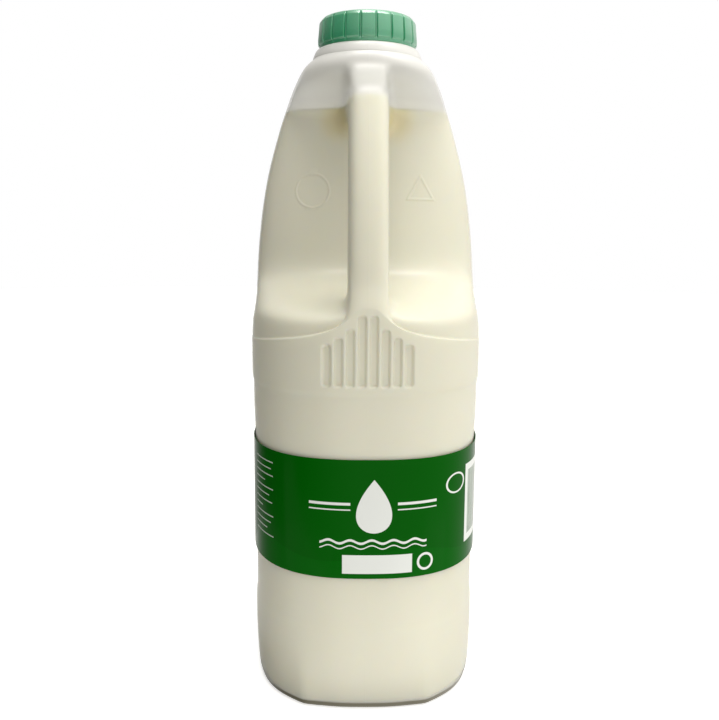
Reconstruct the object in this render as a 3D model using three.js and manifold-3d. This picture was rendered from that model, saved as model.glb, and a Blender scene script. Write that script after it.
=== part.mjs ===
// Two-litre plastic milk jug: a blow-moulded bottle with a hollow handle at the front, full of milk to
// just under the neck, with a green screw cap and a wrap-round label. Millimetres, +Z up, the jug stands on
// z = 0 with its axis on the Z axis, and the handle faces -Y.
import * as THREE from 'three';
import { mergeVertices } from 'three/addons/utils/BufferGeometryUtils.js';
import Module from 'manifold-3d';

// Bottle body
const DEPTH_RATIO = 1.22; // depth of the plan over its width
const BODY_POWER = 2.5; // plan of the body, a superellipse of this power
const BASE_POWER = 2.8; // plan of the base, which is squarer
const NECK_POWER = 2; // plan of the neck, a circle
const WALL = 0.9;
const GAP = 0.3; // clearance between pieces that touch
const HEEL_HALF_WIDTH = 47.8; // flat standing face
const PARTING_HALF_WIDTH = 48.3; // edge where the base meets the wall
const PARTING_Z = 3.2;
const BUMPER_HALF_WIDTH = 50.2;
const BUMPER_TOP_Z = 33;
const PANEL_HALF_WIDTH = 49.7; // label panel, sunk a little below the bumper and the belt
const WAIST_HALF_WIDTH = 50.4; // plain band between the label and the belt
const WAIST_Z = 117;
const BELT_HALF_WIDTH = 51;
const BELT_BOTTOM_Z = 134;
const BELT_RIM_Z = 153;
const STEP_HEIGHT = 2; // height over which the wall steps in or out
const RIM_ROUNDING = 0.5; // how far the belt's upper edge is rounded in

// Domed shoulder above the belt
const DOME_HALF_WIDTH = 49.3;
const DOME_BASE_Z = 158.5;
const DOME_HEIGHT = 127.5; // to the point where the dome would close
const DOME_POWER = 2.2;

// Neck
const COLLAR_RADIUS = 22.6;
const COLLAR_BASE_Z = 269;
const COLLAR_TOP_Z = 273.6;
const FINISH_RADIUS = 19; // threaded part under the cap
const FINISH_TOP_Z = 283.6;
const BORE_RADIUS = 17.4;

// Handle
const HANDLE_HALF_WIDTH = 8;
const HANDLE_HALF_DEPTH = 9.2;
const HANDLE_FLARE = 5; // extra half width where the handle runs into the body
const HANDLE_ROOT = 4.6; // extra half depth of its upper root, which starts and is full at these shares
const ROOT_START = 0.62;
const ROOT_FULL = 0.95;
const HANDLE_POWER = 2.6;

// Grip flutes pressed into the belt below the handle
const FLUTE_COUNT = 8;
const FLUTE_PITCH = 4.6;
const FLUTE_RADIUS = 1.5;
const FLUTE_DEPTH = 0.9;
const FLUTE_BOTTOM_Z = 136;
const FLUTE_TOP_Z = 162; // of the middle pair, and lower by the step for each pair outwards
const FLUTE_TOP_STEP = 3.7;
const FLUTE_END = 0.35; // size of a flute's blunt end over its width

// Contents, label and cap
const MILK_Z = 249;
const LABEL_BOTTOM_Z = 57.7;
const LABEL_TOP_Z = 106.7;
const LABEL_THICKNESS = 0.3;
const CAP_RADIUS = 21.5;
const CAP_BOTTOM_Z = COLLAR_TOP_Z + GAP;
const CAP_TOP_Z = 286.4;
const CAP_BAND_HEIGHT = 1.3;
const CAP_BAND_INSET = 0.7; // of the plain band at the foot behind the pads
const CAP_PAD_COUNT = 20;
const CAP_PAD_TAPER = 0.6; // how far the pads lean in towards the top
const CAP_GROOVE_INSET = 1.1;
const CAP_GROOVE_SHARE = 0.2; // share of the pitch that the groove's floor takes
const CAP_GROOVE_SIDE = 0.05; // and each of its sides
const CAP_PAD_FOOT = 0.6; // height of the slope from the band out to the pads
const CAP_CHAMFER = 1.6;

// Fineness of the faceted surfaces
const BODY_COLUMNS = 36;
const RECESS_ROWS = 24;
const HANDLE_COLUMNS = 16;
const HANDLE_ROWS = 16;
const FLUTE_COLUMNS = 8;
const OVERRUN = 1; // how far a cutting shape runs past the face it cuts
const SLOPE_SPAN = 1.5; // height above and below over which the wall's slope is taken

const wasm = await Module();
wasm.setup();

// Closed solids

function toSolid(geometry) {
  const bare = geometry.clone();
  bare.deleteAttribute('normal');
  bare.deleteAttribute('uv');
  const merged = mergeVertices(bare, 1e-4);
  const mesh = new wasm.Mesh({
    numProp: 3,
    vertProperties: new Float32Array(merged.attributes.position.array),
    triVerts: new Uint32Array(merged.index.array),
  });
  return new wasm.Manifold(mesh);
}

function toGeometry(solid) {
  const mesh = solid.getMesh();
  const geometry = new THREE.BufferGeometry();
  geometry.setAttribute('position', new THREE.BufferAttribute(new Float32Array(mesh.vertProperties), 3));
  geometry.setIndex(new THREE.BufferAttribute(new Uint32Array(mesh.triVerts), 1));
  geometry.computeVertexNormals();
  return geometry;
}

// Skin over a stack of rings that all have the same number of points, closed by a fan at each end
function loft(rings) {
  const columns = rings[0].length;
  const middle = (ring) => ring
    .reduce((sum, point) => sum.add(point), new THREE.Vector3())
    .divideScalar(columns);
  const points = [...rings.flat(), middle(rings[0]), middle(rings.at(-1))];
  const bottom = points.length - 2;
  const top = points.length - 1;
  const index = [];
  for (let column = 0; column < columns; column += 1) {
    const next = (column + 1) % columns;
    for (let row = 0; row + 1 < rings.length; row += 1) {
      const low = row * columns;
      const high = low + columns;
      index.push(low + column, low + next, high + next);
      index.push(low + column, high + next, high + column);
    }
    const last = (rings.length - 1) * columns;
    index.push(bottom, next, column);
    index.push(top, last + column, last + next);
  }
  const geometry = new THREE.BufferGeometry().setFromPoints(points);
  geometry.setIndex(index);
  return toSolid(geometry);
}

function power(value, exponent) {
  return Math.sign(value) * Math.abs(value) ** exponent;
}

// Ring of the plan at one height: a superellipse whose front and back halves differ in depth
function planRing({ z, width, front, back, plan }) {
  return Array.from({ length: BODY_COLUMNS }, (_, column) => {
    const angle = (column / BODY_COLUMNS) * 2 * Math.PI;
    const x = power(Math.sin(angle), 2 / plan);
    const y = -power(Math.cos(angle), 2 / plan);
    return new THREE.Vector3(width * x, (y < 0 ? front : back) * y, z);
  });
}

function roundRing(radius, z, columns = BODY_COLUMNS) {
  return Array.from({ length: columns }, (_, column) => {
    const angle = (column / columns) * 2 * Math.PI;
    return new THREE.Vector3(radius * Math.sin(angle), -radius * Math.cos(angle), z);
  });
}

// Wall of the bottle as a list of rows from the base to the collar

function evenRow(z, width, plan = BODY_POWER) {
  const depth = width * DEPTH_RATIO;
  return { z, width, front: depth, back: depth, plan };
}

function domeRow(z, front) {
  const rise = Math.max(0, z - DOME_BASE_Z) / DOME_HEIGHT;
  const width = Math.max(DOME_HALF_WIDTH * Math.sqrt(1 - rise ** DOME_POWER), COLLAR_RADIUS);
  const climb = Math.max(0, z - DOME_BASE_Z) / (COLLAR_BASE_Z - DOME_BASE_Z);
  const depthRatio = THREE.MathUtils.lerp(DEPTH_RATIO, 1, climb ** 2);
  const plan = THREE.MathUtils.lerp(BODY_POWER, NECK_POWER, climb ** 2);
  return { z, width, front: Math.min(front, width * depthRatio), back: width * depthRatio, plan };
}

// Line of the hand recess on the middle plane, as (distance in front of the axis, height): over the rim, up
// the sloping ledge, up the back wall, out under the lip of the shoulder and up to the collar
function recessLine() {
  const line = new THREE.Path();
  line.moveTo(60, 157.5);
  line.quadraticCurveTo(59, 160.5, 54, 163.5);
  line.lineTo(22.5, 174);
  line.quadraticCurveTo(14.4, 176.6, 13.4, 185);
  line.lineTo(4.5, 240);
  line.quadraticCurveTo(3.5, 247.5, 9, 251);
  line.lineTo(20, 256.5);
  line.quadraticCurveTo(28, 260.5, 26.5, 264);
  line.quadraticCurveTo(25, 267, COLLAR_RADIUS, COLLAR_BASE_Z);
  return line.getSpacedPoints(RECESS_ROWS);
}

const bodyRows = [
  evenRow(0, HEEL_HALF_WIDTH, BASE_POWER),
  evenRow(PARTING_Z / 3, (HEEL_HALF_WIDTH + 2 * PARTING_HALF_WIDTH) / 3, BASE_POWER),
  evenRow(PARTING_Z, PARTING_HALF_WIDTH, BASE_POWER),
  evenRow(4 * PARTING_Z, (PARTING_HALF_WIDTH + 2 * BUMPER_HALF_WIDTH) / 3, (BASE_POWER + BODY_POWER) / 2),
  evenRow(BUMPER_TOP_Z, BUMPER_HALF_WIDTH),
  evenRow(BUMPER_TOP_Z + STEP_HEIGHT, PANEL_HALF_WIDTH),
  evenRow(LABEL_TOP_Z + STEP_HEIGHT, PANEL_HALF_WIDTH),
  evenRow(WAIST_Z, WAIST_HALF_WIDTH),
  evenRow(BELT_BOTTOM_Z - STEP_HEIGHT, WAIST_HALF_WIDTH),
  evenRow(BELT_BOTTOM_Z, BELT_HALF_WIDTH),
  evenRow(BELT_RIM_Z, BELT_HALF_WIDTH),
  evenRow(BELT_RIM_Z + STEP_HEIGHT, BELT_HALF_WIDTH - RIM_ROUNDING),
  ...recessLine().map((point) => domeRow(point.y, point.x)),
];

// Row at any height, between the two rows that enclose it
function rowAt(z) {
  const above = Math.max(1, bodyRows.findIndex((row) => row.z >= z));
  const low = bodyRows[above - 1];
  const high = bodyRows[above];
  const share = (z - low.z) / (high.z - low.z);
  const row = { z };
  for (const key of ['width', 'front', 'back', 'plan']) {
    row[key] = THREE.MathUtils.lerp(low[key], high[key], share);
  }
  return row;
}

// Row moved in by a distance that is measured square to the wall
function insetRow(z, inset) {
  const row = rowAt(z);
  const low = rowAt(Math.max(0, z - SLOPE_SPAN));
  const high = rowAt(Math.min(COLLAR_BASE_Z, z + SLOPE_SPAN));
  for (const key of ['width', 'front', 'back']) {
    const slope = (high[key] - low[key]) / (high.z - low.z);
    row[key] -= inset * Math.hypot(1, slope);
  }
  return row;
}

function insetTrunk(inset, topZ) {
  const heights = bodyRows.map((row) => row.z).filter((z) => z > 2 * inset && z < topZ);
  return [inset, ...heights].map((z) => planRing(insetRow(z, inset)));
}

// Hollow handle: a flattened tube that leaves the collar, follows the dome and runs down into the belt

function handle(inset) {
  // Middle line, as (distance in front of the axis, height), from inside the belt to inside the collar
  const centres = [
    [50, 151], [50.6, 168], [49.8, 185], [46.6, 208], [40.8, 228], [36, 239.5], [30.2, 248],
    [23, 252.7], [15, 254.2], [0, 254],
  ];
  const path = new THREE.CatmullRomCurve3(centres.map(([front, z]) => new THREE.Vector3(0, -front, z)));
  const across = new THREE.Vector3(1, 0, 0);
  const rings = [];
  for (let row = 0; row <= HANDLE_ROWS; row += 1) {
    const share = row / HANDLE_ROWS;
    const centre = path.getPointAt(share);
    const outward = path.getTangentAt(share).cross(across);
    const fromMiddle = Math.abs(2 * share - 1);
    const halfWidth = HANDLE_HALF_WIDTH + HANDLE_FLARE * fromMiddle ** 6 - inset;
    const root = THREE.MathUtils.smoothstep(share, ROOT_START, ROOT_FULL);
    const halfDepth = HANDLE_HALF_DEPTH + HANDLE_ROOT * root - inset;
    rings.push(Array.from({ length: HANDLE_COLUMNS }, (_, column) => {
      const angle = (column / HANDLE_COLUMNS) * 2 * Math.PI;
      return centre.clone()
        .addScaledVector(across, halfWidth * power(Math.cos(angle), 2 / HANDLE_POWER))
        .addScaledVector(outward, halfDepth * power(Math.sin(angle), 2 / HANDLE_POWER));
    }));
  }
  return loft(rings);
}

// Grip flutes as round-ended bars set into the front of the belt, grown by a margin for what lies behind
function flutes(margin) {
  const bars = [];
  const radius = FLUTE_RADIUS + margin;
  for (let flute = 0; flute < FLUTE_COUNT; flute += 1) {
    const place = flute - (FLUTE_COUNT - 1) / 2;
    const x = place * FLUTE_PITCH;
    const topZ = FLUTE_TOP_Z - FLUTE_TOP_STEP * (Math.abs(place) - 0.5);
    const around = 1 - (Math.abs(x) / BELT_HALF_WIDTH) ** BODY_POWER;
    const front = BELT_HALF_WIDTH * DEPTH_RATIO * around ** (1 / BODY_POWER);
    const y = -(front + FLUTE_RADIUS - FLUTE_DEPTH);
    const ends = [
      [FLUTE_END * radius, FLUTE_BOTTOM_Z - margin],
      [radius, FLUTE_BOTTOM_Z + FLUTE_RADIUS],
      [radius, topZ - FLUTE_RADIUS],
      [FLUTE_END * radius, topZ + margin],
    ];
    const rings = ends.map(([size, z]) => roundRing(size, z, FLUTE_COLUMNS));
    bars.push(loft(rings.map((ring) => ring.map((point) => point.add(new THREE.Vector3(x, y, 0))))));
  }
  return bars.reduce((joined, bar) => joined.add(bar));
}

// The four pieces

function jugSolid() {
  const trunk = loft([
    ...bodyRows.map(planRing),
    roundRing(COLLAR_RADIUS, COLLAR_TOP_Z),
    roundRing(FINISH_RADIUS, COLLAR_TOP_Z),
    roundRing(FINISH_RADIUS, FINISH_TOP_Z),
  ]);
  const space = loft([
    ...insetTrunk(WALL, COLLAR_BASE_Z - 2),
    roundRing(BORE_RADIUS, COLLAR_BASE_Z),
    roundRing(BORE_RADIUS, FINISH_TOP_Z + OVERRUN),
  ]);
  const hollow = space.add(handle(WALL)).subtract(flutes(WALL));
  return trunk.add(handle(0)).subtract(flutes(0)).subtract(hollow);
}

function milkSolid() {
  const inset = WALL + GAP;
  const full = loft(insetTrunk(inset, COLLAR_BASE_Z - 4)).add(handle(inset)).subtract(flutes(inset));
  const below = new THREE.BoxGeometry(4 * BELT_HALF_WIDTH, 4 * BELT_HALF_WIDTH, 2 * MILK_Z);
  return full.intersect(toSolid(below));
}

function labelSolid() {
  const side = (halfWidth, margin) => loft([
    planRing(evenRow(LABEL_BOTTOM_Z - margin, halfWidth)),
    planRing(evenRow(LABEL_TOP_Z + margin, halfWidth)),
  ]);
  const inner = PANEL_HALF_WIDTH + GAP;
  return side(inner + LABEL_THICKNESS, 0).subtract(side(inner, OVERRUN));
}

function capSolid() {
  const groove = CAP_GROOVE_SHARE / 2;
  const pitch = (2 * Math.PI) / CAP_PAD_COUNT;
  const ringAt = (z, padRadius, grooveRadius) => {
    const points = [];
    for (let pad = 0; pad < CAP_PAD_COUNT; pad += 1) {
      const corners = [
        [-groove, grooveRadius],
        [groove, grooveRadius],
        [groove + CAP_GROOVE_SIDE, padRadius],
        [1 - groove - CAP_GROOVE_SIDE, padRadius],
      ];
      for (const [share, radius] of corners) {
        const angle = (pad + share) * pitch;
        points.push(new THREE.Vector3(radius * Math.sin(angle), -radius * Math.cos(angle), z));
      }
    }
    return points;
  };
  const bandRadius = CAP_RADIUS - CAP_BAND_INSET;
  const grooveRadius = CAP_RADIUS - CAP_GROOVE_INSET;
  const topRadius = CAP_RADIUS - CAP_CHAMFER;
  const bandTopZ = CAP_BOTTOM_Z + CAP_BAND_HEIGHT;
  const body = loft([
    ringAt(CAP_BOTTOM_Z, bandRadius, bandRadius),
    ringAt(bandTopZ, bandRadius, bandRadius),
    ringAt(bandTopZ + CAP_PAD_FOOT, CAP_RADIUS, grooveRadius),
    ringAt(CAP_TOP_Z - CAP_CHAMFER, CAP_RADIUS - CAP_PAD_TAPER, grooveRadius),
    ringAt(CAP_TOP_Z, topRadius, topRadius),
  ]);
  const socket = loft([
    roundRing(FINISH_RADIUS + GAP, CAP_BOTTOM_Z - OVERRUN),
    roundRing(FINISH_RADIUS + GAP, FINISH_TOP_Z + GAP),
  ]);
  return body.subtract(socket);
}

function piece(name, solid, color, roughness, opacity = 1) {
  const material = new THREE.MeshStandardMaterial({ color, roughness, metalness: 0, opacity });
  material.transparent = opacity < 1;
  const mesh = new THREE.Mesh(toGeometry(solid), material);
  mesh.name = name;
  return mesh;
}

const milkJug = new THREE.Group();
milkJug.add(piece('jug', jugSolid(), '#e9ebe6', 0.4, 0.5));
milkJug.add(piece('milk', milkSolid(), '#efecdc', 0.25));
milkJug.add(piece('label', labelSolid(), '#12602a', 0.3));
milkJug.add(piece('cap', capSolid(), '#2fa36c', 0.4));

export default milkJug;
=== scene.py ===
import math

import bmesh
import bpy
from mathutils import Matrix, Vector


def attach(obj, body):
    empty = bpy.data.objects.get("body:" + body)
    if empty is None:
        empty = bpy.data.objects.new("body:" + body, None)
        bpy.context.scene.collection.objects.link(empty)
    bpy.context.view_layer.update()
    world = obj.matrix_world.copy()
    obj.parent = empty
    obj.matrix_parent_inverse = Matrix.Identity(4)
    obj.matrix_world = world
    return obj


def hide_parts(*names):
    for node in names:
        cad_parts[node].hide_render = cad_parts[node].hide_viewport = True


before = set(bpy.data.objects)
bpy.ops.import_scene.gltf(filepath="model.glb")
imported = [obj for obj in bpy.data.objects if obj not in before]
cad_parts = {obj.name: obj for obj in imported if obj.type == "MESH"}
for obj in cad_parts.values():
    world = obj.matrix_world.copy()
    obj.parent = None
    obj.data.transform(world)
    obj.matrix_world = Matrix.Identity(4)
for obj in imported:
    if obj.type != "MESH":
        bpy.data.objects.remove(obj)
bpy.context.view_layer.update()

# Camera
# It stands close in front of the handle, a little above the middle of the jug, and looks slightly down, so
# the cap is seen from below and the ledges beside the handle from above.
picture_width = 719
focal_length_px = 822.6
optical_axis_px = 364.98
eye_distance = 0.3754
eye_height = 0.19239
look_down = math.radians(8.309)
camera_roll = math.radians(0.448)
jug_turn = math.radians(1.053)

camera_data = bpy.data.cameras.new("camera")
camera_data.sensor_fit = "HORIZONTAL"
camera_data.sensor_width = 36
camera_data.lens = focal_length_px / picture_width * camera_data.sensor_width
camera_data.shift_x = (picture_width / 2 - optical_axis_px) / picture_width
camera = bpy.data.objects.new("camera", camera_data)
around_jug = Matrix.Rotation(-jug_turn, 4, "Z") @ Matrix.Translation((0, -eye_distance, eye_height))
camera.matrix_world = (
    around_jug
    @ Matrix.Rotation(math.pi / 2 - look_down, 4, "X")
    @ Matrix.Rotation(camera_roll, 4, "Z")
)
bpy.context.scene.collection.objects.link(camera)
bpy.context.scene.camera = camera


# Floor, backdrop and light
# A matt white table top runs into a white backdrop. The room is bright on the right and dark on the left, two
# soft boxes hang over the jug, and the lit table in front throws light back up.
def add_piece(name, bm, *materials):
    mesh = bpy.data.meshes.new(name)
    bm.to_mesh(mesh)
    bm.free()
    mesh.shade_smooth()
    for material in materials:
        mesh.materials.append(material)
    piece = bpy.data.objects.new(name, mesh)
    bpy.context.scene.collection.objects.link(piece)
    return piece


def new_finish(name, roughness, ior=1.5):
    material = bpy.data.materials.new(name)
    material.use_nodes = True
    shader = material.node_tree.nodes["Principled BSDF"]
    shader.inputs["Roughness"].default_value = roughness
    shader.inputs["IOR"].default_value = ior
    return material, material.node_tree, shader


def add_node(tree, kind, inputs=None, **settings):
    node = tree.nodes.new("ShaderNode" + kind)
    for setting, value in settings.items():
        setattr(node, setting, value)
    for key, value in (inputs or {}).items():
        if isinstance(value, bpy.types.NodeSocket):
            tree.links.new(value, node.inputs[key])
        else:
            node.inputs[key].default_value = value
    return node


def add_noise(tree, scale, detail=2.0):
    place = add_node(tree, "TexCoord").outputs["Object"]
    return add_node(tree, "TexNoise", {"Vector": place, "Scale": scale, "Detail": detail}).outputs["Fac"]


def vary_colour(tree, shader, factor, low, high):
    mix = add_node(tree, "Mix", data_type="RGBA")
    tree.links.new(factor, mix.inputs["Factor"])
    mix.inputs["A"].default_value = (*low, 1)
    mix.inputs["B"].default_value = (*high, 1)
    tree.links.new(mix.outputs["Result"], shader.inputs["Base Color"])
    return mix


def vary_roughness(tree, shader, factor, low, high):
    """Roughness between two values, over the range in which most of a noise lies."""
    spread = add_node(tree, "MapRange", {"Value": factor, "From Min": 0.3, "From Max": 0.7})
    spread.inputs["To Min"].default_value = low
    spread.inputs["To Max"].default_value = high
    tree.links.new(spread.outputs["Result"], shader.inputs["Roughness"])


def raise_bump(tree, shader, height, distance, below=None):
    bump = add_node(tree, "Bump", {"Height": height, "Distance": distance})
    if below:
        tree.links.new(below.outputs["Normal"], bump.inputs["Normal"])
    tree.links.new(bump.outputs["Normal"], shader.inputs["Normal"])
    return bump


floor_half = 3.0
floor_glow = 0.54
floor_white, floor_tree, floor_shader = new_finish("table_top_white", 0.7)
floor_patches = add_noise(floor_tree, 6.0)
vary_colour(floor_tree, floor_shader, floor_patches, (0.93, 0.93, 0.92), (0.95, 0.95, 0.94))
floor_shader.inputs["Emission Color"].default_value = (1, 1, 1, 1)
floor_shader.inputs["Emission Strength"].default_value = floor_glow
floor_bm = bmesh.new()
bmesh.ops.create_grid(floor_bm, x_segments=12, y_segments=12, size=floor_half)
floor = add_piece("floor", floor_bm, floor_white)
floor.visible_diffuse = False
floor.visible_glossy = False

backdrop_white = bpy.data.materials.new("backdrop_white")
backdrop_white.use_nodes = True
backdrop_tree = backdrop_white.node_tree
backdrop_glow = add_node(backdrop_tree, "Emission", {"Color": (1, 1, 1, 1), "Strength": 1.0})
backdrop_output = backdrop_tree.nodes["Material Output"]
backdrop_tree.links.new(backdrop_glow.outputs["Emission"], backdrop_output.inputs["Surface"])
backdrop_bm = bmesh.new()
bmesh.ops.create_uvsphere(backdrop_bm, u_segments=48, v_segments=24, radius=floor_half)
backdrop = add_piece("backdrop", backdrop_bm, backdrop_white)
backdrop.visible_diffuse = False
backdrop.visible_glossy = False
backdrop.visible_transmission = False
backdrop.visible_shadow = False

# The room's light comes from all round: from the wall above the table's edge and from the table below it.
# Each glow is given at the left, in the middle and at the right, as a share of the strongest.
room_tint = (1.0, 0.985, 0.96)
most_glow = 2.0
world = bpy.data.worlds.new("room")
world.use_nodes = True
room_tree = world.node_tree
room_shader = room_tree.nodes["Background"]
room_shader.inputs["Color"].default_value = (*room_tint, 1)
toward = add_node(room_tree, "TexCoord").outputs["Generated"]
toward_parts = add_node(room_tree, "SeparateXYZ", {"Vector": toward}).outputs
rightward = add_node(room_tree, "MapRange", {"Value": toward_parts["X"], "From Min": -1.0, "From Max": 1.0})


def add_ramp(tree, share, stops):
    """Colour ramp over a share from 0 to 1, with its stops given as places and colours."""
    ramp = add_node(tree, "ValToRGB", {"Fac": share})
    elements = ramp.color_ramp.elements
    while len(elements) < len(stops):
        elements.new(0.5)
    for element, (place, colour) in zip(elements, stops):
        element.position = place
        element.color = (*colour, 1)
    return ramp.outputs["Color"]


def side_glow(left, middle, right):
    places = (0.1, 0.5, 1.0)
    stops = [(place, [glow / most_glow] * 3) for place, glow in zip(places, (left, middle, right))]
    return add_ramp(room_tree, rightward.outputs["Result"], stops)


table_glow = side_glow(0.08, 1.40, 1.32)
wall_glow = side_glow(0.17, 0.80, 1.05)
above = add_node(room_tree, "MapRange", {"Value": toward_parts["Z"], "From Min": -0.12, "From Max": 0.12})
room_glow = add_node(room_tree, "Mix", {"Factor": above.outputs["Result"], "A": table_glow, "B": wall_glow})
high_up = add_node(room_tree, "MapRange", {"Value": toward_parts["Z"], "From Min": 0.2, "From Max": 0.45})
high_up.inputs["To Min"].default_value = 0.75 * most_glow
high_up.inputs["To Max"].default_value = 1.2 * most_glow
room_light = add_node(
    room_tree, "Math", {0: room_glow.outputs["Result"], 1: high_up.outputs["Result"]}, operation="MULTIPLY")
room_tree.links.new(room_light.outputs["Value"], room_shader.inputs["Strength"])
bpy.context.scene.world = world
bpy.context.scene.view_settings.view_transform = "Standard"
bpy.context.scene.cycles.transparent_max_bounces = 24

lamp_tint = (1.0, 0.985, 0.955)


def add_soft_box(name, width, height, place, aim, watts):
    light = bpy.data.lights.new(name, "AREA")
    light.shape = "RECTANGLE"
    light.size = width
    light.size_y = height
    light.energy = watts
    light.color = lamp_tint
    box = bpy.data.objects.new(name, light)
    box.matrix_world = Matrix.LocRotScale(
        Vector(place), (Vector(aim) - Vector(place)).to_track_quat("-Z", "Y"), None)
    box.visible_camera = False
    bpy.context.scene.collection.objects.link(box)


add_soft_box("soft_box_top_left", 0.4, 0.5, (-0.05, -0.15, 1.3), (0, 0, 0.2), 4.6)
add_soft_box("soft_box_top_right", 0.4, 0.5, (0.45, -0.1, 1.3), (0, 0, 0.2), 3.4)
add_soft_box("table_bounce", 0.65, 0.11, (-0.075, -0.125, 0.004), (-0.075, -0.125, 1), 0.11)
add_soft_box("table_bounce_left", 0.16, 0.35, (-0.15, -0.05, 0.004), (-0.15, -0.05, 1), 0.05)


# Bottle
# Blow-moulded in one from natural polyethylene, with the hollow handle pinched off across the hand recess.
# The wall is thin and milky, and the mould's two halves leave a fine seam down the middle of the front.
MM = 0.001
half_columns = 20
handle_columns = (0, 4.0, 8.0, 12.5, 17.5)
wall_thickness = 0.8
depth_ratio = 1.22
belt_half_width = 51.0
panel_half_width = 49.7
bumper_half_width = 50.2
waist_half_width = 50.4
parting_z = 3.2
crease_z = 154.4
crease_flat = 4
crease_sweep_start = 5
crease_sweep = 10.8
crease_sweep_reach = 8
crease_droop = 4.4
dome_base_z = 158.5
dome_half_width = 49.3
dome_height = 127.5
dome_power = 2.2
round_height = 110.5
shift_to_swell = 390


def plan_ring(z, half_width, front, back=None, powers=(2.5, 2.5), spread=1.0, lift=0.0, widest=0.0):
    """Places of one ring of the bottle, from the middle of the back round by the left, in millimetres.
    The ring may be widest a little behind the axis."""
    back = back or front
    turns = [math.asin((x * spread / half_width) ** (powers[0] / 2)) for x in handle_columns]
    rest = half_columns - len(turns) + 1
    turns += [turns[-1] + (math.pi - turns[-1]) * step / rest for step in range(1, rest + 1)]
    places = []
    for column in range(-half_columns, half_columns):
        turn = turns[abs(column)]
        x = math.copysign(half_width * abs(math.sin(turn)) ** (2 / powers[0]), column)
        reach = front + widest if turn < math.pi / 2 else back - widest
        y = widest - reach * math.copysign(abs(math.cos(turn)) ** (2 / powers[1]), math.cos(turn))
        rise = crease_rise(x) if y < 0 else crease_rise(half_width)
        places.append(Vector((x, y, z + lift * rise)))
    return places


def crease_rise(x):
    """Rise of the belt's upper edge, which sweeps up to the handle and droops toward the sides."""
    off_start = max(abs(x), crease_flat) - crease_sweep_start
    sweep = crease_sweep * math.exp(-off_start / crease_sweep_reach)
    return sweep - crease_droop * (abs(x) / belt_half_width) ** 3


def grow_ring(bm, ring, places):
    """Extrudes a closed ring of vertices once and sets the new ring on the given places."""
    edges = [bm.edges.get((ring[i - 1], ring[i])) for i in range(len(ring))]
    made = set(bmesh.ops.extrude_edge_only(bm, edges=edges)["geom"])
    grown = []
    for vertex, place in zip(ring, places):
        twin = next(edge.other_vert(vertex) for edge in vertex.link_edges if edge.other_vert(vertex) in made)
        twin.co = place
        grown.append(twin)
    return grown


def dome_half(z):
    return dome_half_width * math.sqrt(1 - (max(0, z - dome_base_z) / dome_height) ** dome_power)


def dome_ring(z, front, spread=1.0, lift=0.0, front_power=2.1, widest=14.0):
    """Ring of the shoulder, whose front is cut back to the rounded wall of the hand recess. The plan turns
    from oval to round on the way up, and swells a little where its widest place is moved back."""
    climb = min(1, max(0, (z - dome_base_z) / round_height)) ** 2
    back = dome_half(z) * (depth_ratio + (1 - depth_ratio) * climb)
    half_width = dome_half(z) * (1 + widest / shift_to_swell)
    return plan_ring(z, half_width, front, back, (front_power, front_power), spread, lift, widest)


def even_ring(z, half_width, powers=(2.5, 2.5), lift=0.0, spread=1.0):
    """Ring of the body, as deep in front of the axis as behind it."""
    depth = half_width * depth_ratio
    return plan_ring(z, half_width, depth, depth, powers, spread, lift)


base_powers = (2.8, 2.8)
base_inner_half_width = 34
rings = [
    even_ring(1.4, base_inner_half_width, base_powers),
    even_ring(1.2, 44.0, base_powers),
    even_ring(0.2, 46.0, base_powers),
    even_ring(0.0, 47.2, base_powers),
    even_ring(0.5, 48.0, base_powers),
    even_ring(2.7, 48.2, base_powers),
    even_ring(parting_z, 48.6, base_powers),
    even_ring(8, 49.2, base_powers),
    even_ring(20, 50.0, (2.6, 2.6)),
    even_ring(30.5, bumper_half_width),
    even_ring(33.5, bumper_half_width - 0.1),
    even_ring(36.0, panel_half_width + 0.1),
    even_ring(38.5, panel_half_width),
    even_ring(60, panel_half_width),
    even_ring(85, panel_half_width),
    even_ring(108.5, panel_half_width),
    even_ring(117, waist_half_width),
    even_ring(129, waist_half_width),
    even_ring(131.8, waist_half_width + 0.05),
    even_ring(133.2, belt_half_width - 0.15),
    even_ring(134.8, belt_half_width),
    even_ring(142, belt_half_width),
    even_ring(crease_z - 4.5, belt_half_width, lift=0.7),
    even_ring(crease_z - 0.8, belt_half_width, lift=0.98),
]
crease_row = len(rings)
rings += [
    even_ring(crease_z, belt_half_width - 0.05, lift=1.0, spread=0.9),
    plan_ring(crease_z + 0.35, 50.85, 60.6, 62.0, spread=0.95, lift=0.985),
    plan_ring(157.6, 50.75, 60.7, 61.9, lift=0.72),
    plan_ring(161, 50.3, 59.6, 61.2, (2.6, 2.6), 1.05, 0.5),
    dome_ring(163.9, 54.0, 1.15, 0.28, 2.9, 0),
    dome_ring(167.6, 43.5, 1.15, 0.1, 2.5, 2),
    dome_ring(171.0, 32.5, 1.0, 0, 2.3, 5),
    dome_ring(174.4, 22.5, 1.0, 0, 2.1, 9),
    dome_ring(178.6, 16.0, 1.0, 0, 2.1, 12),
    dome_ring(185, 13.4),
    dome_ring(194, 12.0),
    dome_ring(203, 10.6),
    dome_ring(209, 9.6),
    dome_ring(215, 8.6),
    dome_ring(221, 7.6),
    dome_ring(231, 6.0),
]
root_row = len(rings)
rings += [
    dome_ring(242, 4.6, 1.3, 0, 2.1, 13),
    dome_ring(247, 4.6, 1.3, 0, 2.1, 12),
    dome_ring(250.6, 9.4, 1.15, 0, 2.1, 9),
    dome_ring(254.4, 16.4, 1.05, 0, 2.3, 5),
    dome_ring(258.4, 22.6, 1.0, 0, 2.3, 2),
    dome_ring(262.4, 25.8, 0.95, 0, 2.2, 0),
    dome_ring(266, 25.8, 0.9, 0, 2.1, 0),
]
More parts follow.
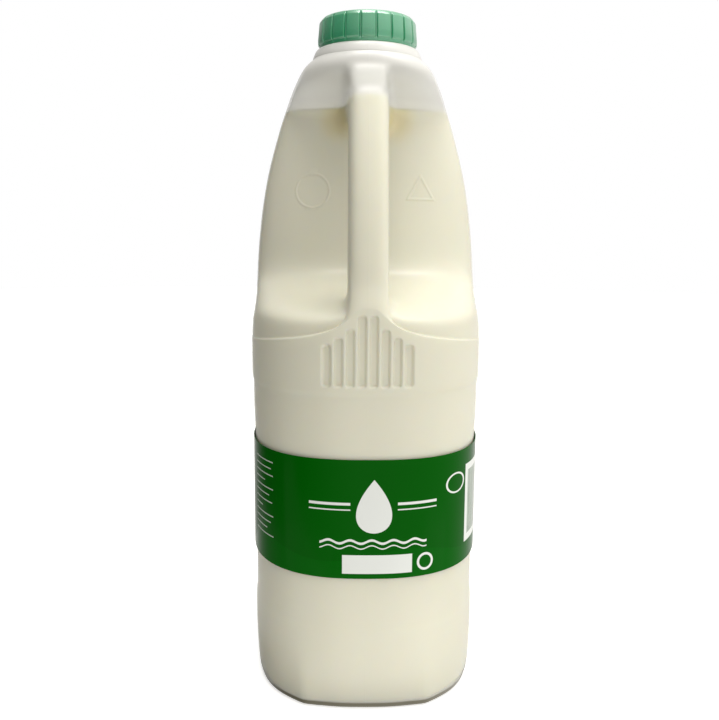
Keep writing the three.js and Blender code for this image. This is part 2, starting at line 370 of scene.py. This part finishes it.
neck_sizes = [
    (268.6, 24.5), (269.2, 23.8), (269.5, 24.0), (271.5, 23.3), (273.4, 22.3), (273.8, 21.0),
    (274.1, 19.4), (275, 19.0), (279, 19.0), (283.0, 19.0), (283.5, 18.9),
]
rings += [plan_ring(z, radius, radius, None, (2, 2), 0.8) for z, radius in neck_sizes]

# The base's four corners are flattened, which leaves a soft edge at each end of its front and back.
heel_row = 3
parting_row = 6
corner_columns = (5, 18)
corner_push = 1.2
corner_shares = (1, 1, 1, 1, 0.75, 0.35)
corner_sharpness = 0.4
for places, share in zip(rings[heel_row:], corner_shares):
    for column in corner_columns:
        for place in (places[half_columns - column], places[half_columns + column]):
            place.y += math.copysign(corner_push * share, place.y)

jug_bm = bmesh.new()
first = bmesh.ops.create_circle(
    jug_bm, cap_ends=True, segments=2 * half_columns, radius=base_inner_half_width)["verts"]
for vertex, place in zip(first, rings[0]):
    vertex.co = place
rows = [first]
for places in rings[1:]:
    rows.append(grow_ring(jug_bm, rows[-1], places))
crease_layer = jug_bm.edges.layers.float.new("crease_edge")
for row, sharpness in ((parting_row, 0.6), (crease_row, 0.75), (crease_row + 1, 0.5)):
    for left, right in zip(rows[row], rows[row][1:] + rows[row][:1]):
        jug_bm.edges.get((left, right))[crease_layer] = sharpness
corner_rows = rows[heel_row:heel_row + len(corner_shares)]
for low, high in zip(corner_rows, corner_rows[1:]):
    for column in corner_columns:
        for index in (half_columns - column, half_columns + column):
            jug_bm.edges.get((low[index], high[index]))[crease_layer] = corner_sharpness

# The handle stands on a patch of the ledge and ends on a patch under the lip of the shoulder. Both patches
# are taken out, and the tube is drawn from one to the other.
patch_half = 2
patch_rows = 5
handle_half_width = 8.2
handle_half_depth = 9.4
handle_power = 3.4
handle_foot_z = 166
handle_foot_front = 50.8
handle_heights = (175, 184, 195, 206, 217, 227, 236)
handle_curve = 0.000927
handle_slope = 0.00209
handle_curve_power = 2.25


def patch_ring(low_row, front_first):
    """Vertices round a patch, from its left front corner along the front, and the faces inside it."""
    columns = range(half_columns - patch_half, half_columns + patch_half + 1)
    patch = [[rows[row][column] for column in columns] for row in range(low_row, low_row + patch_rows + 1)]
    patch_faces = {
        face
        for line in patch for vertex in line for face in vertex.link_faces
        if all(any(corner in other for other in patch) for corner in face.verts)
    }
    if not front_first:
        patch.reverse()
    right = [line[-1] for line in patch[1:-1]]
    left = [line[0] for line in patch[1:-1]]
    return patch[0] + right + patch[-1][::-1] + left[::-1], patch_faces


def handle_ring(front, z, lean, half_depth=handle_half_depth, half_width=handle_half_width):
    """Ring of the tube round a point in front of the axis, leaning back by an angle."""
    places = []
    front_steps = 2 * patch_half
    for corner, steps in ((0, front_steps), (1, patch_rows), (2, front_steps), (3, patch_rows)):
        for step in range(steps):
            turn = math.radians(225 + 90 * (corner + step / steps))
            across = half_width * math.copysign(abs(math.cos(turn)) ** (2 / handle_power), math.cos(turn))
            out = -half_depth * math.copysign(abs(math.sin(turn)) ** (2 / handle_power), math.sin(turn))
            places.append(Vector((across, -front - out * math.cos(lean), z + out * math.sin(lean))))
    return places


foot, foot_faces = patch_ring(crease_row, True)
root, root_faces = patch_ring(root_row, False)
bmesh.ops.delete(jug_bm, geom=list(foot_faces | root_faces), context="FACES")
tube = foot
for z in handle_heights:
    climb = z - handle_foot_z
    fall = handle_curve * climb ** handle_curve_power
    lean = math.atan(handle_slope * climb ** (handle_curve_power - 1))
    tube = grow_ring(jug_bm, tube, handle_ring(handle_foot_front - fall, z, lean))
root_end = handle_ring(33.0, 245.5, math.radians(38), 10.2, 8.6)
tube = grow_ring(jug_bm, tube, root_end)
ring_edges = [jug_bm.edges.get((ring[i - 1], ring[i])) for ring in (tube, root) for i in range(len(ring))]
bmesh.ops.bridge_loops(jug_bm, edges=ring_edges)

bmesh.ops.recalc_face_normals(jug_bm, faces=jug_bm.faces)
bmesh.ops.scale(jug_bm, vec=(MM, MM, MM), verts=jug_bm.verts)

cage = add_piece("bottle_cage", jug_bm)
smoother = cage.modifiers.new("smooth", "SUBSURF")
smoother.levels = 2
smoother.render_levels = 2
smooth_mesh = bpy.data.meshes.new_from_object(cage.evaluated_get(bpy.context.evaluated_depsgraph_get()))
bpy.data.objects.remove(cage)
skin_bm = bmesh.new()
skin_bm.from_mesh(smooth_mesh)
bpy.data.meshes.remove(smooth_mesh)


def in_box(place, box):
    low, high = box
    return all(low[i] * MM <= place[i] <= high[i] * MM for i in range(3))


def refine(bm, box, cuts):
    """Cuts every edge inside a box into smaller ones, so that the fine relief has enough points."""
    edges = [edge for edge in bm.edges if all(in_box(vertex.co, box) for vertex in edge.verts)]
    bmesh.ops.subdivide_edges(bm, edges=edges, cuts=cuts, use_grid_fill=True)


# Eight grip flutes are pressed into the belt under the handle, the middle ones longest.
flute_count = 8
flute_pitch = 4.6
flute_half_width = 1.8
flute_floor = 1.2
flute_round = 0.7
flute_depth = 1.25
flute_bottom_z = 136.2
flute_tops = (163.6, 158.2, 155.0, 152.3)
flute_box = ((-20, -70, 134.8), (20, -50, 167))
flute_cuts = 2
refine(skin_bm, flute_box, flute_cuts)


def ease(low, high, value):
    share = min(1, max(0, (value - low) / (high - low)))
    return share * share * (3 - 2 * share)


def flute_sink(x, z):
    sink = 0.0
    for flute in range(flute_count):
        off_middle = flute - (flute_count - 1) / 2
        top = flute_tops[int(abs(off_middle))] - flute_floor
        over_x = max(0, abs(x - off_middle * flute_pitch) - flute_floor + flute_round)
        over_z = z - min(max(z, flute_bottom_z + flute_round), top)
        distance = math.hypot(over_x, over_z)
        slope = flute_half_width - flute_floor
        sink = max(sink, flute_depth * (1 - ease(flute_round, flute_round + slope, distance)))
    return sink


# Two marks of the mould stand a little proud on the wall behind the handle: a ring and a three-sided loop.
mark_z = 213.6
mark_x = 23.8
mark_rise = 0.28
mark_half_width = 0.55
mark_crest = 0.15
ring_radius = 7.4
loop_radius = 3.4
mark_boxes = (((-33, -20, 204.5), (-15, 0, 223)), ((15, -20, 204.5), (33, 0, 223)))
mark_cuts = 3
for mark_box in mark_boxes:
    refine(skin_bm, mark_box, mark_cuts)


def mark_swell(x, z):
    if x < 0:
        off_mark = abs(math.hypot(x + mark_x, z - mark_z) - ring_radius)
    else:
        turn = math.atan2(x - mark_x, z - mark_z) + math.pi
        side = abs((turn + math.pi / 3) % (2 * math.pi / 3) - math.pi / 3)
        off_mark = abs(math.hypot(x - mark_x, z - mark_z) * math.cos(side) - loop_radius)
    return mark_rise * (1 - ease(mark_crest, mark_half_width, off_mark))


for vertex in skin_bm.verts:
    x, _, z = vertex.co / MM
    if in_box(vertex.co, flute_box):
        vertex.co.y += flute_sink(x, z) * MM
    elif any(in_box(vertex.co, mark_box) for mark_box in mark_boxes):
        vertex.co.y -= mark_swell(x, z) * MM
skin_bm.normal_update()

bottle_plastic, bottle_tree, bottle_shader = new_finish("milky_polyethylene", 0.34, 1.51)
bottle_shader.inputs["Coat Weight"].default_value = 0.8
bottle_shader.inputs["Coat Roughness"].default_value = 0.32
full_height = 0.290


def add_height_ramp(tree, stops):
    """Colour that changes with the height over the table, with its stops' heights in metres."""
    place = add_node(tree, "TexCoord").outputs["Object"]
    height = add_node(tree, "SeparateXYZ", {"Vector": place}).outputs["Z"]
    share = add_node(tree, "Math", {0: height, 1: full_height}, operation="DIVIDE")
    return add_ramp(tree, share.outputs["Value"], [(z / full_height, colour) for z, colour in stops])


# The plastic's colour is painted dark at the heel, a painted contact shadow where the jug meets the table; it
# is creamy where milk stands behind it, and white over the milk. It hides most at the heel and at the thick
# neck, and least at the empty shoulder.
# The darkest tone, at the heel, is painted shade of the contact shadow, not the plastic's own colour.
heel_painted_shade = (0.15, 0.135, 0.07)
wet_cream = (0.94, 0.93, 0.82)
dry_white = (0.97, 0.96, 0.915)
tone_stops = ((0.0028, heel_painted_shade), (0.0034, wet_cream), (0.2480, wet_cream), (0.2510, dry_white))
cover_stops = (
    (0.0028, 0.95), (0.0036, 0.45), (0.2490, 0.45), (0.2520, 0.38), (0.2625, 0.46), (0.2670, 0.75))
tone_and_heel_shade = add_height_ramp(bottle_tree, tone_stops)
cover = add_height_ramp(bottle_tree, [(z, [share] * 3) for z, share in cover_stops])
bottle_tree.links.new(cover, bottle_shader.inputs["Alpha"])
cloudy = vary_colour(bottle_tree, bottle_shader, add_noise(bottle_tree, 22, 3), (0.97, 0.97, 0.97), (1, 1, 1))
bottle_tone = add_node(bottle_tree, "Mix", data_type="RGBA", blend_type="MULTIPLY")
bottle_tone.inputs["Factor"].default_value = 1.0
bottle_tree.links.new(tone_and_heel_shade, bottle_tone.inputs["A"])
bottle_tree.links.new(cloudy.outputs["Result"], bottle_tone.inputs["B"])
bottle_tree.links.new(bottle_tone.outputs["Result"], bottle_shader.inputs["Base Color"])
vary_roughness(bottle_tree, bottle_shader, add_noise(bottle_tree, 60, 3), 0.30, 0.42)
orange_peel = raise_bump(bottle_tree, bottle_shader, add_noise(bottle_tree, 260, 2), 0.00004)
seam_half_width = 0.0004
seam_rise = 0.00003
bottle_place = add_node(bottle_tree, "TexCoord").outputs["Object"]
across = add_node(bottle_tree, "SeparateXYZ", {"Vector": bottle_place}).outputs["X"]
off_seam = add_node(bottle_tree, "Math", {0: across}, operation="ABSOLUTE").outputs["Value"]
seam = add_node(bottle_tree, "MapRange", {"Value": off_seam, "From Min": 0.0, "From Max": seam_half_width})
seam.inputs["To Min"].default_value = 1.0
seam.inputs["To Max"].default_value = 0.0
raise_bump(bottle_tree, bottle_shader, seam.outputs["Result"], seam_rise, orange_peel)

bottle = add_piece("bottle", skin_bm.copy(), bottle_plastic)
wall = bottle.modifiers.new("wall", "SOLIDIFY")
wall.thickness = wall_thickness * MM
wall.offset = -1
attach(bottle, "root")
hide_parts("jug")


# Milk
# Milk fills the body and the hollow handle to just under the neck. It wets the wall all over, so its skin
# lies inside the thickness of the plastic, and its top is level.
milk_z = 249.0
milk_low = (0.89, 0.865, 0.70)
milk_high = (0.91, 0.885, 0.74)
milk_bm = skin_bm
for vertex in milk_bm.verts:
    vertex.co -= vertex.normal * wall_thickness / 2 * MM
cut = bmesh.ops.bisect_plane(
    milk_bm, geom=milk_bm.verts[:] + milk_bm.edges[:] + milk_bm.faces[:],
    plane_co=(0, 0, milk_z * MM), plane_no=(0, 0, 1), clear_outer=True)
level_edges = [part for part in cut["geom_cut"] if isinstance(part, bmesh.types.BMEdge)]
bmesh.ops.triangle_fill(milk_bm, edges=level_edges, use_beauty=True)
bmesh.ops.recalc_face_normals(milk_bm, faces=milk_bm.faces)

milk_cream, milk_tree, milk_shader = new_finish("milk_cream", 0.3, 1.35)
milk_shader.inputs["Subsurface Weight"].default_value = 0.6
milk_shader.inputs["Subsurface Radius"].default_value = (1.0, 0.8, 0.5)
milk_shader.inputs["Subsurface Scale"].default_value = 0.004
milk_body = vary_colour(milk_tree, milk_shader, add_noise(milk_tree, 14, 2), milk_low, milk_high)

# In the two pinched-off corners beside the handle's root, an olive painted shade darkens the milk's colour
# where shade falls in the deep corner.
root_corner = (0.0125, -0.0055, 0.2440)
corner_shade_core = 0.002
corner_shade_reach = 0.012
olive_corner_shade = (0.84, 0.70, 0.20)
milk_place = add_node(milk_tree, "TexCoord").outputs["Object"]
milk_parts = add_node(milk_tree, "SeparateXYZ", {"Vector": milk_place}).outputs
off_middle = add_node(milk_tree, "Math", {0: milk_parts["X"]}, operation="ABSOLUTE").outputs["Value"]
folded = add_node(milk_tree, "CombineXYZ", {"X": off_middle, "Y": milk_parts["Y"], "Z": milk_parts["Z"]})
folded_place = folded.outputs["Vector"]
off_root = add_node(milk_tree, "VectorMath", {0: folded_place, 1: root_corner}, operation="DISTANCE")
corner_shade = add_node(milk_tree, "MapRange", {"Value": off_root.outputs["Value"]})
corner_shade.inputs["From Min"].default_value = corner_shade_core
corner_shade.inputs["From Max"].default_value = corner_shade_reach
corner_shade.interpolation_type = "SMOOTHSTEP"
corner_shade.inputs["To Min"].default_value = 1.0
corner_shade.inputs["To Max"].default_value = 0.0
# The painted olive shade of the two corners is mixed into the milk's colour here.
milk_with_corner_shade = add_node(milk_tree, "Mix", data_type="RGBA")
milk_tree.links.new(corner_shade.outputs["Result"], milk_with_corner_shade.inputs["Factor"])
milk_tree.links.new(milk_body.outputs["Result"], milk_with_corner_shade.inputs["A"])
milk_with_corner_shade.inputs["B"].default_value = (*olive_corner_shade, 1)
milk_tree.links.new(milk_with_corner_shade.outputs["Result"], milk_shader.inputs["Base Color"])
milk = add_piece("milk_fill", milk_bm, milk_cream)
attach(milk, "root")
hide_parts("milk")


# Label
# A sleeve of printed film, wrapped once round the sunk panel and glued over itself at the back. The print is
# white on dark green under a clear gloss.
label_bottom_z = 57.7
label_top_z = 106.7
label_inner = 50.0
label_outer = 50.3
label_power = 2.5
label_columns = 80
label_heights = (0.15, 8, 16, 24, 32, 40, 48.85, 49)


def label_ring(z, half_width):
    places = []
    for column in range(2 * label_columns):
        turn = math.pi * (column / label_columns - 1)
        x = math.copysign(half_width * abs(math.sin(turn)) ** (2 / label_power), turn)
        y_share = math.copysign(abs(math.cos(turn)) ** (2 / label_power), math.cos(turn))
        y = -half_width * depth_ratio * y_share
        places.append(Vector((x, y, z)))
    return places


label_bm = bmesh.new()
label_first = bmesh.ops.create_circle(label_bm, segments=2 * label_columns, radius=label_outer)["verts"]
for vertex, place in zip(label_first, label_ring(label_bottom_z, label_outer)):
    vertex.co = place
label_ring_rows = [label_first]
for height in label_heights:
    places = label_ring(label_bottom_z + height, label_outer)
    label_ring_rows.append(grow_ring(label_bm, label_ring_rows[-1], places))
bmesh.ops.recalc_face_normals(label_bm, faces=label_bm.faces)

# The film's own map runs round the sleeve from the middle of the back and up it, each from 0 to 1.
label_map = label_bm.loops.layers.uv.new("film")
outline = label_ring(0, label_outer)
girths = [0.0]
for near, far in zip(outline, outline[1:] + outline[:1]):
    girths.append(girths[-1] + (far - near).length)
girth = girths[-1]
column_of = {vertex: column for ring in label_ring_rows for column, vertex in enumerate(ring)}
for face in label_bm.faces:
    last_strip = max(column_of[vertex] for vertex in face.verts) == 2 * label_columns - 1
    for loop in face.loops:
        column = column_of[loop.vert]
        if column == 0 and last_strip:
            column = 2 * label_columns
        share_up = (loop.vert.co.z - label_bottom_z) / (label_top_z - label_bottom_z)
        loop[label_map].uv = (girths[column] / girth, share_up)
bmesh.ops.scale(label_bm, vec=(MM, MM, MM), verts=label_bm.verts)

label_film, label_tree, label_shader = new_finish("label_film", 0.22, 1.5)
film_map = add_node(label_tree, "UVMap", uv_map="film").outputs["UV"]
film_parts = add_node(label_tree, "SeparateXYZ", {"Vector": film_map}).outputs


def calc(operation, first_value, second_value=0.0, third_value=0.0, clamp=False):
    node = add_node(label_tree, "Math", {0: first_value}, operation=operation, use_clamp=clamp)
    for index, value in ((1, second_value), (2, third_value)):
        if isinstance(value, bpy.types.NodeSocket):
            label_tree.links.new(value, node.inputs[index])
        elif index < len(node.inputs):
            node.inputs[index].default_value = value
    return node.outputs["Value"]


def inside(distance):
    """1 where a distance in millimetres is below zero, with an edge a tenth of a millimetre soft."""
    return calc("MULTIPLY_ADD", distance, -10.0, 0.5, clamp=True)


def off_box(u, v, half_u, half_v):
    over_u = calc("SUBTRACT", calc("ABSOLUTE", calc("SUBTRACT", film_u, u)), half_u)
    over_v = calc("SUBTRACT", calc("ABSOLUTE", calc("SUBTRACT", film_v, v)), half_v)
    return calc("MAXIMUM", over_u, over_v)


def off_oval(u, v, half_u, half_v):
    share_u = calc("DIVIDE", calc("SUBTRACT", film_u, u), half_u)
    share_v = calc("DIVIDE", calc("SUBTRACT", film_v, v), half_v)
    reach = calc("SQRT", calc("ADD", calc("MULTIPLY", share_u, share_u), calc("MULTIPLY", share_v, share_v)))
    return calc("MULTIPLY", calc("SUBTRACT", reach, 1.0), min(half_u, half_v))


def off_line(distance, half_width):
    return calc("SUBTRACT", calc("ABSOLUTE", distance), half_width)


film_u = calc("MULTIPLY", calc("SUBTRACT", film_parts["X"], 0.5), girth)
film_v = calc("MULTIPLY", film_parts["Y"], label_top_z - label_bottom_z)

# White milk drop over two waves, with a pair of rules on each side of it
print_middle = 3.0
drop_bottom = 19.0
drop_height = 22.0
drop_half_width = 7.2
drop_to_full = 2.598
drop_share = calc("DIVIDE", calc("SUBTRACT", film_v, drop_bottom), drop_height, clamp=True)
drop_half = calc("MULTIPLY", calc("SQRT", drop_share), calc("SUBTRACT", 1.0, drop_share))
drop_reach = calc("MULTIPLY", drop_half, drop_to_full * drop_half_width)
drop_out = calc("SUBTRACT", calc("ABSOLUTE", calc("SUBTRACT", film_u, print_middle)), drop_reach)
drop_frame = off_box(print_middle, drop_bottom + drop_height / 2, 9, drop_height / 2)
white_print = inside(calc("MAXIMUM", drop_out, drop_frame))
for side in (-1, 1):
    for height, half_line in ((31.0, 0.55), (28.6, 0.25)):
        rule = inside(off_box(print_middle + side * 18, height, 8.5, half_line))
        white_print = calc("MAXIMUM", white_print, rule)
for height, half_line in ((15.4, 0.5), (13.2, 0.25)):
    wave = calc("MULTIPLY_ADD", calc("SINE", calc("MULTIPLY", film_u, 0.72)), 0.7, height)
    wave_out = off_line(calc("SUBTRACT", film_v, wave), half_line)
    wave_line = inside(calc("MAXIMUM", wave_out, off_box(print_middle, height, 22, 3)))
    white_print = calc("MAXIMUM", white_print, wave_line)

# Plain white patch, a small ring, a column of rules, and an oval and a striped panel. Each is given by its
# middle along the film and up it, and its half width and half height.
white_patch = (4.5, 6.0, 14.2, 3.9)
small_ring = (24.5, 6.0, 3.2, 3.2)
small_oval = (41.0, 36.0, 6.0, 4.0)
panel_field = (61.0, 25.0, 12.0, 17.0)
stripe_field = (61.0, 25.0, 9.0, 14.0)
stripe_pitch = 1.5
stripe_gap = 0.45
rule_left = -61.0
rule_top = 43.6
rule_pitch = 2.9
white_print = calc("MAXIMUM", white_print, inside(off_box(*white_patch)))
white_print = calc("MAXIMUM", white_print, inside(off_line(off_oval(*small_ring), 0.5)))
rule_halves = (9.0, 8.2, 9.0, 5.5, 9.0, 7.4, 8.6, 4.2, 9.0, 8.0, 6.4, 9.0)
for step, rule_half in enumerate(rule_halves):
    rule = inside(off_box(rule_left + rule_half, rule_top - rule_pitch * step, rule_half, 0.26))
    white_print = calc("MAXIMUM", white_print, calc("MULTIPLY", rule, 0.6))
white_print = calc("MAXIMUM", white_print, inside(off_line(off_oval(*small_oval), 0.35)))
panel = inside(off_box(*panel_field))
stripe_phase = calc("FRACT", calc("DIVIDE", film_u, stripe_pitch))
stripes = inside(calc("MULTIPLY", calc("SUBTRACT", stripe_gap, stripe_phase), stripe_pitch))
stripes = calc("MULTIPLY", stripes, inside(off_box(*stripe_field)))
white_print = calc("MAXIMUM", white_print, calc("SUBTRACT", panel, stripes, clamp=True))

# Two lighter fields roll along the foot of the film, all the way round
film_green = (0.0003, 0.100, 0.0008)
field_green = (0.0006, 0.122, 0.002)
ink_white = (0.84, 0.86, 0.82)
fields = 0.0
for height, sway, stretch in ((9.5, 2.6, 0.0897), (5.5, 2.2, 0.1345)):
    hill = calc("MULTIPLY_ADD", calc("SINE", calc("MULTIPLY", film_u, stretch)), sway, height)
    fields = calc("MAXIMUM", fields, calc("MULTIPLY", inside(calc("SUBTRACT", film_v, hill)), 0.5))
green = vary_colour(label_tree, label_shader, fields, film_green, field_green)
printed = add_node(label_tree, "Mix", data_type="RGBA")
label_tree.links.new(white_print, printed.inputs["Factor"])
label_tree.links.new(green.outputs["Result"], printed.inputs["A"])
printed.inputs["B"].default_value = (*ink_white, 1)
label_tree.links.new(printed.outputs["Result"], label_shader.inputs["Base Color"])
label_shader.inputs["Specular IOR Level"].default_value = 0.05
vary_roughness(label_tree, label_shader, add_noise(label_tree, 45, 2), 0.12, 0.2)
raise_bump(label_tree, label_shader, add_noise(label_tree, 35, 2), 0.00012)

label = add_piece("label_sleeve", label_bm, label_film)
film = label.modifiers.new("film", "SOLIDIFY")
film.thickness = (label_outer - label_inner) * MM
film.offset = -1
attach(label, "root")
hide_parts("label")


# Cap
# A screw cap injection-moulded in green polyethylene, with twenty flat grip pads between narrow grooves, a
# bevelled top edge and a plain band at the foot. It covers the neck down to the shoulder.
cap_pads = 20
cap_bottom_z = 273.9
cap_top_z = 286.4
band_radius = 20.75
pad_radius = 21.5
groove_radius = 20.5
socket_radius = 19.35
socket_top_z = 283.9
cap_dark = (0.012, 0.33, 0.135)
cap_light = (0.020, 0.39, 0.17)
pad_phases = (-0.09, -0.06, 0.0, 0.06, 0.09, 0.15, 0.32, 0.5, 0.68, 0.85)


def cap_ring(z, radius, groove=None):
    """Ring of the cap whose grooves, one before each pad, may lie deeper than the rest."""
    places = []
    for pad in range(cap_pads):
        for phase in pad_phases:
            turn = 2 * math.pi * (pad + phase + 0.5) / cap_pads
            reach = groove if groove and abs(phase) < 0.08 else radius
            places.append(Vector((reach * math.sin(turn), -reach * math.cos(turn), z)))
    return places


cap_bm = bmesh.new()
cap_first = bmesh.ops.create_circle(
    cap_bm, cap_ends=True, segments=cap_pads * len(pad_phases), radius=socket_radius)["verts"]
cap_rings = [
    cap_ring(socket_top_z, socket_radius - 1),
    cap_ring(socket_top_z, socket_radius),
    cap_ring(cap_bottom_z + 0.4, socket_radius),
    cap_ring(cap_bottom_z, socket_radius + 0.5),
    cap_ring(cap_bottom_z, band_radius - 0.2),
    cap_ring(cap_bottom_z + 0.2, band_radius),
    cap_ring(cap_bottom_z + 1.25, band_radius, band_radius - 0.1),
    cap_ring(cap_bottom_z + 1.4, band_radius + 0.15, groove_radius),
    cap_ring(cap_bottom_z + 1.95, pad_radius - 0.03, groove_radius),
    cap_ring(cap_bottom_z + 4.1, pad_radius, groove_radius),
    cap_ring(cap_bottom_z + 4.6, pad_radius - 0.04, groove_radius),
    cap_ring(cap_top_z - 1.75, pad_radius - 0.6, groove_radius - 0.1),
    cap_ring(cap_top_z - 1.6, pad_radius - 0.68, groove_radius - 0.1),
    cap_ring(cap_top_z - 0.4, 19.85, groove_radius - 0.5),
    cap_ring(cap_top_z - 0.05, 19.5),
    cap_ring(cap_top_z, 19.2),
    cap_ring(cap_top_z, 18.4),
    cap_ring(cap_top_z - 0.35, 18.1),
    cap_ring(cap_top_z - 0.35, 9),
]
for vertex, place in zip(cap_first, cap_rings[0]):
    vertex.co = place
cap_row = cap_first
for places in cap_rings[1:]:
    cap_row = grow_ring(cap_bm, cap_row, places)
bmesh.ops.contextual_create(cap_bm, geom=cap_row)
bmesh.ops.recalc_face_normals(cap_bm, faces=cap_bm.faces)
bmesh.ops.scale(cap_bm, vec=(MM, MM, MM), verts=cap_bm.verts)

cap_green, cap_tree, cap_shader = new_finish("cap_green", 0.36, 1.51)
cap_shader.inputs["Subsurface Weight"].default_value = 0.3
cap_shader.inputs["Subsurface Radius"].default_value = (0.3, 1.0, 0.5)
cap_shader.inputs["Subsurface Scale"].default_value = 0.0015
vary_colour(cap_tree, cap_shader, add_noise(cap_tree, 90, 3), cap_dark, cap_light)
cap_shader.inputs["Coat Weight"].default_value = 1.0
cap_shader.inputs["Coat IOR"].default_value = 2.1
cap_shader.inputs["Coat Roughness"].default_value = 0.28
vary_roughness(cap_tree, cap_shader, add_noise(cap_tree, 140, 2), 0.29, 0.38)
raise_bump(cap_tree, cap_shader, add_noise(cap_tree, 700, 2), 0.00003)
cap = add_piece("screw_cap", cap_bm, cap_green)
edge_round = cap.modifiers.new("edges", "BEVEL")
edge_round.width = 0.12 * MM
edge_round.segments = 2
edge_round.limit_method = "ANGLE"
edge_round.angle_limit = math.radians(25)
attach(cap, "root")
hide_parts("cap")
